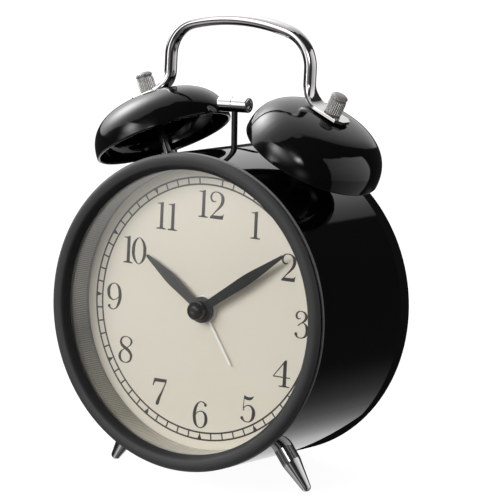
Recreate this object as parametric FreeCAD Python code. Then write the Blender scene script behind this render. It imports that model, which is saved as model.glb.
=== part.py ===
import FreeCAD, Part
import math
import os
from FreeCAD import Vector

# Twin-bell alarm clock, in millimetres.
# The clock is first built upright: the drum's axis lies on Y, the dial looks along -Y,
# y = 0 is the front of the bezel, +X is the right-hand side of the dial and +Z is twelve o'clock.
# At the end every piece is leaned back together until the two feet and the drum's rear
# edge stand on z = 0, with the origin at the middle of the footprint's box.

# Drum, bezel and glass
DRUM_RADIUS = 48.4
DRUM_FRONT = 3.8
DRUM_BACK = 54.2
SHEET = 0.8
REAR_CURL = 1.8
BEZEL_SIGHT_RADIUS = 43.3
BEZEL_SIGHT_Y = 2.7
SKIRT_BACK = 8.0
LENS_RADIUS = 45.0
LENS_FRONT = 2.9
LENS_BACK = 4.4

# Dial, light ring and hands
DIAL_FRONT = 13.2
DIAL_BACK = 13.8
DIAL_RADIUS = 43.9
RING_RADIUS = 46.2
RING_LIP = 43.15
MINUTE_LENGTH = 35.2
HOUR_LENGTH = 25.4
ALARM_LENGTH = 19.1
MINUTE_ANGLE = 55.5
HOUR_ANGLE = 304.6
ALARM_ANGLE = 146.6

# Movement: module, tooth counts and where each pair of wheels lies along the arbors
MODULE = 0.4
CANNON_TEETH = 10
MINUTE_WHEEL_TEETH = 30
MINUTE_PINION_TEETH = 8
HOUR_WHEEL_TEETH = 32
ALARM_WHEEL_TEETH = 40
ALARM_PINION_TEETH = 12
KNOB_HEIGHT = 3.0
MOVEMENT_HALF_WIDTH = 24.0
MOVEMENT_BOTTOM = -24.0
MOVEMENT_TOP = 14.0
MOVEMENT_FRONT = 15.3
MOVEMENT_BACK = 31.0
PLATE = 1.2
RUNNING_GAP = 0.07

# Rear cover, battery bay and controls
COVER_RADIUS = 46.0
COVER_FRONT = 49.6
COVER_BACK = 51.4
KNOB_RADIUS = 7.0
KNOB_FRONT = 52.0
KNOB_BACK = 58.5
BATTERY_RADIUS = 7.2
BATTERY_LENGTH = 49.2
BATTERY_Y = 41.4
BATTERY_Z = -25.5
BAY_HALF_WIDTH = 26.8
BAY_HALF_HEIGHT = 7.8
BAY_FRONT = 33.2
CONTROL_X = 14.0
CONTROL_Z = 22.0

# Bells, posts, thumb nuts and handle
BELL_RADIUS = 21.7
BELL_DEPTH = 14.0
BELL_FULLNESS = 0.67
BELL_WALL = 1.0
BELL_HOLE = 2.0
BELL_DROP = 0.12
SEAT_X = 33.0
SEAT_Y = 26.8
SEAT_Z = 61.45
POST_TILT = 23.8
LEFT_BELL_TILT = 27.6
LEFT_BELL_BACK = 3.6
RIGHT_BELL_TILT = 26.9
RIGHT_BELL_BACK = -2.8
POST_RADIUS = 1.5
NUT_RADIUS = 2.55
NUT_LENGTH = 6.5
ROD_RADIUS = 1.95
HANDLE_TOP = 87.66
HANDLE_MIDDLE_X = -0.43
CROWN_RADIUS = 66.4
SHOULDER_RADIUS = 10.95
LEG_X = 25.27
BEND_RADIUS = 7.66
FOOT_PLATE = 0.9
FOOT_PLATE_HALF_WIDTH = 3.8
FOOT_PLATE_END = 5.6

# Hammer and its striker
HAMMER_Y = 26.0
PIVOT_Z = 34.0
HEAD_HEIGHT = 27.7
HEAD_RADIUS = 2.35
HEAD_HALF_LENGTH = 5.4
HAMMER_ROD_RADIUS = 0.95
HAMMER_LEAN = 2.4
PIN_RADIUS = 1.0

# Feet: FOOT_Y is where a foot's middle line meets the drum, and lengths count from there
FOOT_ANGLE = 34.5
FOOT_RAKE = 6.8
FOOT_Y = 18.2
FOOT_RADIUS = 3.05
FOOT_TIP_RADIUS = 1.55
FOOT_LENGTH = 14.9
FOOT_FLAT = 0.12

AXIS = Vector(0, 1, 0)
SIDES = (("left", -1), ("right", 1))


def outline(start, steps, to_point):
    """Closed outline. A step (a, b) ends a line and a step (a, b, c, d) ends an arc through (a, b)."""
    edges = []
    here = start
    for step in steps + (start,):
        end = step[-2:]
        if len(step) == 4:
            middle = to_point(step[0], step[1])
            edges.append(Part.Arc(to_point(*here), middle, to_point(*end)).toShape())
        elif end != here:
            edges.append(Part.makeLine(to_point(*here), to_point(*end)))
        here = end
    return Part.Wire(edges)


def turned(start, *steps):
    """Solid turned about the Y axis from an outline of (radius, y) points."""
    face = Part.Face(outline(start, steps, lambda radius, y: Vector(radius, y, 0)))
    return face.revolve(Vector(0, 0, 0), AXIS, 360)


def flat(front, back, start, *steps):
    """Plate between two y values from an outline of (x, z) points."""
    face = Part.Face(outline(start, steps, lambda x, z: Vector(x, front, z)))
    return face.extrude(Vector(0, back - front, 0))


def disc(radius, front, back, x=0.0, z=0.0):
    return Part.makeCylinder(radius, back - front, Vector(x, front, z), AXIS)


def block(x, y, z):
    """Box between two values on each axis."""
    return Part.makeBox(x[1] - x[0], y[1] - y[0], z[1] - z[0], Vector(x[0], y[0], z[0]))


def aim(shape, base, direction):
    """A piece made along +Y from the origin, turned to a direction and set at a point."""
    moved = shape.copy()
    moved.Placement = FreeCAD.Placement(base, FreeCAD.Rotation(AXIS, direction))
    return moved


def mirrored(shape):
    return shape.mirror(Vector(0, 0, 0), Vector(1, 0, 0))


def hexagon(across_flats, bore, length):
    """Plain hexagon nut along +Y."""
    corner = across_flats / math.sqrt(3)
    points = [(corner * math.cos(math.radians(60 * i)), corner * math.sin(math.radians(60 * i)))
              for i in range(6)]
    return flat(0, length, *points).cut(disc(bore, 0, length))


def gear(teeth, front, back, tooth_at, x=0.0, z=0.0):
    """Spur wheel with one tooth pointing along the angle tooth_at, counted from +X towards +Z."""
    pitch_radius = MODULE * teeth / 2
    step = 2 * math.pi / teeth
    root = (pitch_radius - 1.1 * MODULE, 0.31 * step)
    tip = (pitch_radius + 0.8 * MODULE, 0.13 * step)
    corners = []
    for i in range(teeth):
        middle = tooth_at + i * step
        for radius, turn in ((root[0], -root[1]), (tip[0], -tip[1]), tip, root):
            corners.append((x + radius * math.cos(middle + turn), z + radius * math.sin(middle + turn)))
    return flat(front, back, *corners)


# Drum: one deep-drawn steel sheet with a curled rear edge, a slot for the hammer's rod,
# two oblique holes for the bell posts and two for the feet.

def post_direction(side):
    tilt = math.radians(POST_TILT)
    return Vector(side * math.sin(tilt), 0, math.cos(tilt))


def foot_direction(side):
    angle = math.radians(FOOT_ANGLE)
    return Vector(side * math.sin(angle), math.tan(math.radians(FOOT_RAKE)), -math.cos(angle)).normalize()


def foot_root(side):
    """Point where a foot's middle line meets the drum's outside."""
    angle = math.radians(FOOT_ANGLE)
    return Vector(side * DRUM_RADIUS * math.sin(angle), FOOT_Y, -DRUM_RADIUS * math.cos(angle))


def seat(side):
    """Point of a bell's top, where the handle's foot rests on it."""
    return Vector(side * SEAT_X, SEAT_Y, SEAT_Z)


def make_housing():
    outer = DRUM_RADIUS
    inner = DRUM_RADIUS - SHEET
    curl_start = DRUM_BACK - REAR_CURL
    bend = math.sqrt(0.5)
    shell = turned(
        (inner, DRUM_FRONT), (outer - 0.2, DRUM_FRONT), (outer, DRUM_FRONT + 0.2), (outer, curl_start),
        (outer - REAR_CURL * (1 - bend), curl_start + REAR_CURL * bend, outer - REAR_CURL, DRUM_BACK),
        (outer - REAR_CURL - 0.6, DRUM_BACK), (outer - REAR_CURL - 0.6, DRUM_BACK - SHEET),
        (outer - REAR_CURL, DRUM_BACK - SHEET),
        (outer - REAR_CURL + SHEET * bend, curl_start + SHEET * bend, inner, curl_start))
    half, radius = 6.25, 1.75
    slot = block((-half, half), (HAMMER_Y - radius, HAMMER_Y + radius), (40, 55))
    for x in (-half, half):
        slot = slot.fuse(Part.makeCylinder(radius, 15, Vector(x, HAMMER_Y, 40)))
    shell = shell.cut(slot)
    for name, side in SIDES:
        shell = shell.cut(aim(disc(POST_RADIUS, -26, -10), seat(side), post_direction(side)))
        shell = shell.cut(aim(disc(POST_RADIUS, -8, 7), foot_root(side), foot_direction(side)))
    return shell


# Bezel, lens, light ring and dial

def make_bezel():
    edge = DRUM_RADIUS
    inner = DRUM_RADIUS - SHEET
    return turned(
        (BEZEL_SIGHT_RADIUS, BEZEL_SIGHT_Y), (44.8, 0.6), (46.4, 0.0, 47.6, 0.45),
        (48.2, 1.05, edge, 1.95), (edge, 3.0), (inner, 3.25), (inner, DRUM_FRONT),
        (inner - 0.05, SKIRT_BACK), (inner - 1.2, SKIRT_BACK), (inner - 1.2, LENS_BACK),
        (LENS_RADIUS, LENS_BACK), (LENS_RADIUS, LENS_FRONT), (BEZEL_SIGHT_RADIUS, LENS_FRONT))


def make_light_ring():
    return turned(
        (BEZEL_SIGHT_RADIUS, LENS_BACK), (BEZEL_SIGHT_RADIUS + 0.1, DIAL_FRONT - 1.1),
        (RING_LIP, DIAL_FRONT - 0.9), (RING_LIP, DIAL_FRONT - 0.3), (RING_LIP + 0.3, DIAL_FRONT),
        (DIAL_RADIUS, DIAL_FRONT), (DIAL_RADIUS, DIAL_BACK), (RING_RADIUS, DIAL_BACK),
        (RING_RADIUS, LENS_BACK))


# Hands: flat leaves stamped from thin sheet, each on its own tube

def leaf(length, root, widest, tip, front, back):
    """Hand pointing at twelve: straight sides, rounded where it is widest, with a narrow blunt tip."""
    below, middle, above = 0.42 * length, 0.53 * length, 0.64 * length
    return flat(
        front, back, (-root / 2, 1.0), (-0.47 * widest, below),
        (-0.5 * widest, middle, -0.46 * widest, above), (-tip / 2, length - 0.3),
        (0.0, length, tip / 2, length - 0.3), (0.46 * widest, above),
        (0.5 * widest, middle, 0.47 * widest, below), (root / 2, 1.0))


def at_clock_angle(shape, degrees):
    moved = shape.copy()
    moved.rotate(Vector(0, 0, 0), AXIS, degrees)
    return moved


ARBOR = 0.9
HOUR_BORE = ARBOR + RUNNING_GAP
HOUR_TUBE = 1.5
ALARM_BORE = HOUR_TUBE + RUNNING_GAP
ALARM_TUBE = 2.2
MINUTE_PLATE = (9.7, 10.1)
HOUR_PLATE = (10.9, 11.3)
ALARM_PLATE = (12.1, 12.4)
HUB_FRONT = 10.5
CAP_FRONT = 6.3
CAP_RADIUS = 2.85
ALARM_LEVEL = (17.6, 18.6)
HOUR_LEVEL = (19.6, 20.6)
MINUTE_LEVEL = (21.8, 22.6)


def make_minute_hand():
    hand = leaf(MINUTE_LENGTH, 2.5, 3.3, 0.9, *MINUTE_PLATE).fuse(disc(CAP_RADIUS, *MINUTE_PLATE))
    return at_clock_angle(hand.cut(disc(ARBOR, *MINUTE_PLATE)), MINUTE_ANGLE)


def make_centre_cap():
    plate_front = MINUTE_PLATE[0]
    return turned(
        (0.0, CAP_FRONT), (0.75 * CAP_RADIUS, CAP_FRONT + 0.2, CAP_RADIUS, CAP_FRONT + 1.1),
        (CAP_RADIUS, plate_front), (ARBOR, plate_front), (ARBOR, CAP_FRONT + 1.6), (0.0, CAP_FRONT + 1.6))


def make_minute_arbor():
    pinion = gear(CANNON_TEETH, MINUTE_LEVEL[0] - 0.4, MINUTE_LEVEL[1] + 0.4, time_shaft_angle())
    return disc(ARBOR, CAP_FRONT + 1.6, MOVEMENT_BACK - 1.4).fuse(pinion)


def make_hour_hand():
    hub = disc(4.0, HUB_FRONT, HOUR_PLATE[1] + 0.2)
    hand = leaf(HOUR_LENGTH, 2.7, 3.4, 0.9, *HOUR_PLATE).fuse(hub)
    return at_clock_angle(hand.cut(disc(HOUR_TUBE, HUB_FRONT, 12)), HOUR_ANGLE)


def make_hour_wheel():
    wheel = gear(HOUR_WHEEL_TEETH, *HOUR_LEVEL, time_shaft_angle() + math.pi / HOUR_WHEEL_TEETH)
    tube = disc(HOUR_TUBE, HUB_FRONT, HOUR_LEVEL[1])
    return wheel.fuse(tube).cut(disc(HOUR_BORE, HUB_FRONT, HOUR_LEVEL[1]))


def make_alarm_hand():
    plate = disc(4.35, *ALARM_PLATE)
    stick = flat(*ALARM_PLATE, (-0.32, 2), (-0.32, ALARM_LENGTH - 0.3),
                 (0, ALARM_LENGTH, 0.32, ALARM_LENGTH - 0.3), (0.32, 2))
    return at_clock_angle(plate.fuse(stick).cut(disc(ALARM_TUBE, *ALARM_PLATE)), ALARM_ANGLE)


def make_alarm_wheel():
    wheel = gear(ALARM_WHEEL_TEETH, *ALARM_LEVEL, alarm_shaft_angle() + math.pi / ALARM_WHEEL_TEETH)
    tube = disc(ALARM_TUBE, ALARM_PLATE[0], ALARM_LEVEL[1])
    return wheel.fuse(tube).cut(disc(ALARM_BORE, ALARM_PLATE[0], ALARM_LEVEL[1]))


# Setting shafts: the time knob turns the minute wheel, the alarm knob turns the alarm wheel

def shaft_place(teeth, other_teeth, side):
    """Centre (x, z) of a shaft in mesh with the centre arbor, at the knobs' height."""
    reach = MODULE * (teeth + other_teeth) / 2
    return side * math.sqrt(reach ** 2 - KNOB_HEIGHT ** 2), KNOB_HEIGHT


TIME_SHAFT = shaft_place(CANNON_TEETH, MINUTE_WHEEL_TEETH, -1)
ALARM_SHAFT = shaft_place(ALARM_PINION_TEETH, ALARM_WHEEL_TEETH, 1)
SHAFT_RADIUS = 1.4
SHAFT_END = 56.0


def time_shaft_angle():
    return math.atan2(TIME_SHAFT[1], TIME_SHAFT[0])


def alarm_shaft_angle():
    return math.atan2(ALARM_SHAFT[1], ALARM_SHAFT[0])


def make_minute_wheel():
    towards_centre = time_shaft_angle() + math.pi
    half_tooth = math.pi / MINUTE_WHEEL_TEETH
    wheel = gear(MINUTE_WHEEL_TEETH, *MINUTE_LEVEL, towards_centre + half_tooth, *TIME_SHAFT)
    pinion = gear(MINUTE_PINION_TEETH, HOUR_LEVEL[0] - 0.3, MINUTE_LEVEL[0], towards_centre, *TIME_SHAFT)
    return wheel.fuse(pinion)


def make_time_shaft():
    return disc(SHAFT_RADIUS, MINUTE_LEVEL[1], SHAFT_END, *TIME_SHAFT)


def make_alarm_shaft():
    pinion = gear(ALARM_PINION_TEETH, ALARM_LEVEL[0] - 0.3, ALARM_LEVEL[1] + 0.3,
                  alarm_shaft_angle() + math.pi, *ALARM_SHAFT)
    return pinion.fuse(disc(SHAFT_RADIUS, ALARM_LEVEL[1], SHAFT_END, *ALARM_SHAFT))


def make_knob(place):
    """Moulded knob with a fluted grip and a shallow dished face."""
    face = KNOB_BACK
    body = turned(
        (0, KNOB_FRONT), (KNOB_RADIUS + 0.6, KNOB_FRONT), (KNOB_RADIUS + 0.6, KNOB_FRONT + 1.2),
        (KNOB_RADIUS, KNOB_FRONT + 1.8), (KNOB_RADIUS - 0.2, face - 0.8),
        (KNOB_RADIUS - 0.45, face - 0.2, KNOB_RADIUS - 1.0, face), (KNOB_RADIUS - 1.6, face),
        (0.0, face - 0.6))
    flutes = 20
    for i in range(flutes):
        angle = 2 * math.pi * i / flutes
        x = (KNOB_RADIUS + 0.35) * math.cos(angle)
        z = (KNOB_RADIUS + 0.35) * math.sin(angle)
        body = body.cut(disc(0.6, KNOB_FRONT + 1.2, face, x, z))
    body.translate(Vector(place[0], 0, place[1]))
    return body.cut(disc(SHAFT_RADIUS, KNOB_FRONT, SHAFT_END, *place))


# Movement case and what is fixed in it

def make_movement_plate():
    half = MOVEMENT_HALF_WIDTH
    plate = block((-half, half), (MOVEMENT_FRONT, MOVEMENT_FRONT + PLATE),
                  (MOVEMENT_BOTTOM, MOVEMENT_TOP))
    bush = disc(3.0, DIAL_BACK, MOVEMENT_FRONT)
    return plate.fuse(bush).cut(disc(ALARM_TUBE + RUNNING_GAP, DIAL_BACK, 17))


LUGS = ((-26.5, -20.0), (26.5, -20.0), (-26.5, 10.0), (26.5, 10.0))


def make_movement_case():
    half = MOVEMENT_HALF_WIDTH
    front = MOVEMENT_FRONT + PLATE
    case = block((-half, half), (front, MOVEMENT_BACK), (MOVEMENT_BOTTOM, MOVEMENT_TOP))
    vertical = [edge for edge in case.Edges
                if abs(edge.Vertexes[0].Y - edge.Vertexes[1].Y) > 1]
    case = case.makeFillet(1.5, vertical)
    case = case.cut(block((PLATE - half, half - PLATE), (front, MOVEMENT_BACK - PLATE),
                          (MOVEMENT_BOTTOM + PLATE, MOVEMENT_TOP - PLATE)))
    for x, z in LUGS:
        inward = x - math.copysign(2.8, x)
        tab = disc(3.0, front, front + 1.5, x, z).fuse(
            block(sorted((x, inward)), (front, front + 1.5), (z - 3, z + 3)))
        case = case.fuse(tab).cut(disc(0.9, front, front + 2, x, z))
    pivot = disc(2.0, MOVEMENT_BACK - 3, MOVEMENT_BACK - PLATE)
    case = case.fuse(pivot).cut(disc(ARBOR + RUNNING_GAP, MOVEMENT_BACK - 3, MOVEMENT_BACK - 1.0))
    for place in (TIME_SHAFT, ALARM_SHAFT):
        boss = disc(2.6, MOVEMENT_BACK, MOVEMENT_BACK + 1.5, *place)
        case = case.fuse(boss)
        case = case.cut(disc(SHAFT_RADIUS + RUNNING_GAP, MOVEMENT_BACK - 2, MOVEMENT_BACK + 2, *place))
    return case


def make_movement_screws():
    front = MOVEMENT_FRONT + PLATE
    screws = []
    for x, z in LUGS:
        head = disc(1.8, front + 1.5, front + 2.6, x, z)
        slot = block((x - 1.8, x + 1.8), (front + 2.2, front + 2.7), (z - 0.25, z + 0.25))
        screws.append(head.fuse(disc(0.9, 14.1, front + 1.5, x, z)).cut(slot))
    return Part.makeCompound(screws)


def make_inner_frame():
    """Moulded carrier: a flange behind the dial, notched for the foot nuts, and three pillars."""
    frame = turned(
        (26.0, DIAL_BACK), (47.4, DIAL_BACK), (47.4, 17.0), (46.2, 17.0), (46.2, MOVEMENT_FRONT),
        (26.0, MOVEMENT_FRONT))
    for x, z in COVER_SCREWS:
        frame = frame.fuse(disc(2.8, MOVEMENT_FRONT - 0.5, COVER_FRONT, x, z))
        frame = frame.cut(disc(1.0, COVER_FRONT - 8, COVER_FRONT, x, z))
    for x, z in LUGS:
        frame = frame.fuse(disc(2.4, MOVEMENT_FRONT - 0.5, MOVEMENT_FRONT + PLATE, x, z))
        frame = frame.cut(disc(0.9, 14.1, MOVEMENT_FRONT + PLATE, x, z))
    for name, side in SIDES:
        frame = frame.cut(aim(disc(4.0, -8, 0), foot_root(side), foot_direction(side)))
    return frame.cut(disc(LAMP_RADIUS, DIAL_BACK, 20, *LAMP_PLACE))


COVER_SCREWS = tuple((40.0 * math.cos(math.radians(a)), 40.0 * math.sin(math.radians(a)))
                     for a in (30, 150, 270))
LAMP_RADIUS = 1.5
LAMP_PLACE = (44.2 * math.sqrt(0.5), 44.2 * math.sqrt(0.5))


def make_dial_lamp():
    dome = turned((0, DIAL_BACK), (LAMP_RADIUS, DIAL_BACK + 1.0), (LAMP_RADIUS, 16.6),
                  (LAMP_RADIUS + 0.3, 16.6), (LAMP_RADIUS + 0.3, 17.2), (0, 17.2))
    return aim(dome, Vector(LAMP_PLACE[0], 0, LAMP_PLACE[1]), AXIS)


def make_circuit_board():
    board = block((-21, 21), (27.6, 28.6), (-22, -9))
    for x in (-18, 18):
        board = board.fuse(disc(1.5, 28.6, MOVEMENT_BACK - PLATE, x, -15.5))
    chip = block((-3, 3), (26.4, 27.6), (-19, -14))
    return board.fuse(chip)


def make_quartz_crystal():
    """Quartz in a small drawn can that lies on the board."""
    can = turned((0, 0), (1.15, 0), (1.15, 0.5), (1.0, 0.5), (1.0, 6.0), (0, 6.0))
    return aim(can, Vector(6, 26.4, -16), Vector(1, 0, 0))


ROTOR_PLACE = (-16.0, -9.8)
COIL_Z = -13.0


def make_motor_stator():
    """Flat iron stator of the step motor, with the round hole that its rotor turns in."""
    stator = block((-20.5, -2.5), (24.4, 25.2), (-13.0, -8.0)).fuse(disc(4.6, 24.4, 25.2, *ROTOR_PLACE))
    return stator.cut(disc(2.4, 24.4, 25.2, *ROTOR_PLACE))


def make_motor_coil():
    """Winding on its bobbin, laid under the stator."""
    bobbin = Part.makeCylinder(3.1, 1.0, Vector(-12.0, 21.2, COIL_Z), Vector(1, 0, 0))
    bobbin = bobbin.fuse(Part.makeCylinder(3.1, 1.0, Vector(-1.0, 21.2, COIL_Z), Vector(1, 0, 0)))
    return bobbin.fuse(Part.makeCylinder(2.6, 10.0, Vector(-11.0, 21.2, COIL_Z), Vector(1, 0, 0)))


# Rear cover, battery and the controls on the back

SWITCH_TRAVEL = 4.0
BUTTON_RADIUS = 4.0


def make_rear_cover():
    cover = turned(
        (0, COVER_FRONT), (COVER_RADIUS - 1.2, COVER_FRONT), (COVER_RADIUS - 1.2, 46.0),
        (COVER_RADIUS, 46.0), (COVER_RADIUS, COVER_BACK - 0.6), (COVER_RADIUS - 0.6, COVER_BACK),
        (0, COVER_BACK))
    wide, high = BAY_HALF_WIDTH, BAY_HALF_HEIGHT
    z_low, z_high = BATTERY_Z - high, BATTERY_Z + high
    tub = block((-wide - PLATE, wide + PLATE), (BAY_FRONT - PLATE, COVER_FRONT),
                (z_low - PLATE, z_high + PLATE))
    cover = cover.fuse(tub)
    cover = cover.cut(block((-wide, wide), (BAY_FRONT, COVER_BACK), (z_low, z_high)))
    for place in (TIME_SHAFT, ALARM_SHAFT):
        cover = cover.cut(disc(SHAFT_RADIUS + RUNNING_GAP, COVER_FRONT, COVER_BACK, *place))
    for x, z in COVER_SCREWS:
        cover = cover.cut(disc(1.0, COVER_FRONT, COVER_BACK, x, z))
        cover = cover.cut(disc(2.1, COVER_BACK - 0.8, COVER_BACK, x, z))
    slot_half = SWITCH_TRAVEL / 2 + 2.3
    cover = cover.cut(block((-CONTROL_X - slot_half, -CONTROL_X + slot_half), (COVER_FRONT, COVER_BACK),
                            (CONTROL_Z - 1.6, CONTROL_Z + 1.6)))
    return cover.cut(disc(BUTTON_RADIUS + 0.15, COVER_FRONT, COVER_BACK, CONTROL_X, CONTROL_Z))


def make_cover_screws():
    screws = []
    for x, z in COVER_SCREWS:
        head = disc(2.0, COVER_BACK - 0.8, COVER_BACK + 0.2, x, z)
        depth = (COVER_BACK - 0.3, COVER_BACK + 0.3)
        head = head.cut(block((x - 1.3, x + 1.3), depth, (z - 0.25, z + 0.25)))
        head = head.cut(block((x - 0.25, x + 0.25), depth, (z - 1.3, z + 1.3)))
        screws.append(head.fuse(disc(1.0, COVER_FRONT - 7, COVER_BACK - 0.8, x, z)))
    return Part.makeCompound(screws)


def make_battery_door():
    """Lid with a ribbed thumb pad and two snap tongues inside the bay."""
    wide, high = BAY_HALF_WIDTH - 0.2, BAY_HALF_HEIGHT - 0.2
    z_low, z_high = BATTERY_Z - high, BATTERY_Z + high
    door = block((-wide, wide), (COVER_BACK - 1.4, COVER_BACK), (z_low, z_high))
    for i in range(5):
        x = -4 + 2 * i
        rib = block((x - 0.35, x + 0.35), (COVER_BACK, COVER_BACK + 0.5), (z_high - 5, z_high - 1.2))
        door = door.fuse(rib)
    for z in (z_low, z_high - 0.9):
        door = door.fuse(block((-5, 5), (COVER_BACK - 3.2, COVER_BACK - 1.4), (z, z + 0.9)))
    return door


def along_x(shape):
    """A piece turned about Y, laid along X at the battery's place and centred on x = 0."""
    return aim(shape, Vector(0, BATTERY_Y, BATTERY_Z), Vector(1, 0, 0))


def make_battery():
    half = BATTERY_LENGTH / 2
    return along_x(turned(
        (0, -half), (BATTERY_RADIUS - 0.6, -half), (BATTERY_RADIUS, 0.6 - half),
        (BATTERY_RADIUS, half - 1.9), (BATTERY_RADIUS - 0.6, half - 1.3), (2.75, half - 1.3),
        (2.75, half), (0, half)))


def make_battery_contacts():
    """Flat strip for the pip, and a dished strip for the flat end."""
    half = BATTERY_LENGTH / 2
    wall = BAY_HALF_WIDTH
    plus = block((half, wall), (BATTERY_Y - 4, BATTERY_Y + 5), (BATTERY_Z - 4, BATTERY_Z + 4))
    minus = along_x(turned((0, -wall), (5.0, -wall), (5.0, 0.5 - wall), (3.0, -half), (0, -half)))
    return Part.makeCompound([plus, minus])


def make_switch_body():
    return block((-CONTROL_X - 6, -CONTROL_X + 6), (44.0, COVER_FRONT - 1.0),
                 (CONTROL_Z - 3, CONTROL_Z + 3))


def make_alarm_switch():
    """Grooved slider at the left-hand end of its slot, the alarm switched off."""
    x = -CONTROL_X - SWITCH_TRAVEL / 2
    slider = block((x - 2, x + 2), (COVER_FRONT - 0.7, COVER_BACK + 1.6),
                   (CONTROL_Z - 1.3, CONTROL_Z + 1.3))
    for i in range(-1, 2):
        groove = block((x + 1.1 * i - 0.2, x + 1.1 * i + 0.2), (COVER_BACK + 1.2, COVER_BACK + 1.7),
                       (CONTROL_Z - 1.4, CONTROL_Z + 1.4))
        slider = slider.cut(groove)
    return slider


def make_light_switch():
    body = block((CONTROL_X - 3, CONTROL_X + 3), (42.5, 46.0), (CONTROL_Z - 3, CONTROL_Z + 3))
    return body.fuse(disc(1.5, 46.0, 46.6, CONTROL_X, CONTROL_Z))


def make_light_button():
    top = COVER_BACK + 1.8
    button = turned((0, 48.0), (BUTTON_RADIUS + 0.8, 48.0), (BUTTON_RADIUS + 0.8, COVER_FRONT - 0.3),
                    (BUTTON_RADIUS, COVER_FRONT - 0.3), (BUTTON_RADIUS, top - 0.8),
                    (BUTTON_RADIUS - 0.25, top - 0.22, BUTTON_RADIUS - 0.8, top), (0, top - 0.1))
    return aim(button, Vector(CONTROL_X, 0, CONTROL_Z), AXIS)


# Bells: spun steel domes on oblique posts, held with the handle's feet under knurled thumb nuts

def bell_direction(side):
    if side < 0:
        tilt, back = math.radians(LEFT_BELL_TILT), math.radians(LEFT_BELL_BACK)
    else:
        tilt, back = math.radians(RIGHT_BELL_TILT), math.radians(RIGHT_BELL_BACK)
    return Vector(side * math.sin(tilt), math.sin(back), math.cos(tilt)).normalize()


def dome(radius, depth):
    """Half outline of a dome from its rim to its top as one smooth curve."""
    curve = Part.BezierCurve()
    curve.setPoles([Vector(radius, -depth, 0), Vector(radius, -depth * (1 - BELL_FULLNESS), 0),
                    Vector(radius * BELL_FULLNESS, 0, 0), Vector(0, 0, 0)])
    return curve.toShape()


def make_bell_shape():
    """Bell with its top at the origin and its mouth towards -Y."""
    outer = dome(BELL_RADIUS, BELL_DEPTH)
    inner = dome(BELL_RADIUS - BELL_WALL, BELL_DEPTH - BELL_WALL)
    inner.translate(Vector(0, -BELL_WALL, 0))
    lip = Part.Arc(Vector(BELL_RADIUS, -BELL_DEPTH, 0),
                   Vector(BELL_RADIUS - BELL_WALL / 2, -BELL_DEPTH - BELL_WALL / 2, 0),
                   Vector(BELL_RADIUS - BELL_WALL, -BELL_DEPTH, 0)).toShape()
    top = Part.makeLine(Vector(0, 0, 0), Vector(0, -BELL_WALL, 0))
    face = Part.Face(Part.Wire(Part.__sortEdges__([outer, lip, inner, top])))
    bell = face.revolve(Vector(0, 0, 0), AXIS, 360)
    return bell.cut(disc(BELL_HOLE, -3, 3))


def make_bell(side, handle):
    """Bell under its side's foot of the handle, which presses a shallow flat into the dome."""
    top = seat(side) - post_direction(side) * BELL_DROP
    return aim(make_bell_shape(), top, bell_direction(side)).cut(handle)


def make_post(side):
    """Stud from inside the drum through bell and handle, with collars on the drum and under the bell."""
    direction = post_direction(side)
    shank = aim(disc(POST_RADIUS, -27.5, 5.5), seat(side), direction)
    foot = aim(disc(3.0, -24, -18.6), seat(side), direction).cut(disc(DRUM_RADIUS, 0, 60))
    collar = aim(disc(2.6, -4.0, 0.5), seat(side), direction)
    hollow = aim(bell_space(), seat(side) - direction * BELL_DROP, bell_direction(side))
    return shank.fuse(foot).fuse(collar.common(hollow))


def bell_space():
    """Room inside a bell, under its wall."""
    inner = dome(BELL_RADIUS - BELL_WALL, BELL_DEPTH - BELL_WALL)
    inner.translate(Vector(0, -BELL_WALL, 0))
    base = Part.makeLine(Vector(0, -BELL_DEPTH, 0), Vector(BELL_RADIUS - BELL_WALL, -BELL_DEPTH, 0))
    middle = Part.makeLine(Vector(0, -BELL_DEPTH, 0), Vector(0, -BELL_WALL, 0))
    face = Part.Face(Part.Wire(Part.__sortEdges__([inner, base, middle])))
    return face.revolve(Vector(0, 0, 0), AXIS, 360)


def make_post_nuts():
    """Hexagon nuts inside the drum, one on each post."""
    nuts = []
    for name, side in SIDES:
        direction = post_direction(side)
        nut = aim(hexagon(5.5, POST_RADIUS, 5.4), seat(side) - direction * 27.0, direction)
        nuts.append(nut.common(disc(DRUM_RADIUS - SHEET, 0, 60)))
    return Part.makeCompound(nuts)


def make_thumb_nut(side):
    """Round nut with a groove near its top and a domed end."""
    radius, length = NUT_RADIUS, NUT_LENGTH
    body = turned(
        (0, 5.5), (POST_RADIUS, 5.5), (POST_RADIUS, FOOT_PLATE), (radius - 0.2, FOOT_PLATE),
        (radius, FOOT_PLATE + 0.2), (radius, FOOT_PLATE + 0.72 * length),
        (radius - 0.3, FOOT_PLATE + 0.74 * length), (radius - 0.3, FOOT_PLATE + 0.78 * length),
        (radius, FOOT_PLATE + 0.8 * length), (radius, FOOT_PLATE + length - 0.7),
        (radius - 0.6, FOOT_PLATE + length - 0.2),
        (0.45 * radius, FOOT_PLATE + length), (0, FOOT_PLATE + length))
    return aim(body, seat(side), post_direction(side))


# Handle: one round rod bent into an arch, its ends pressed flat where they lie on the bells

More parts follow.
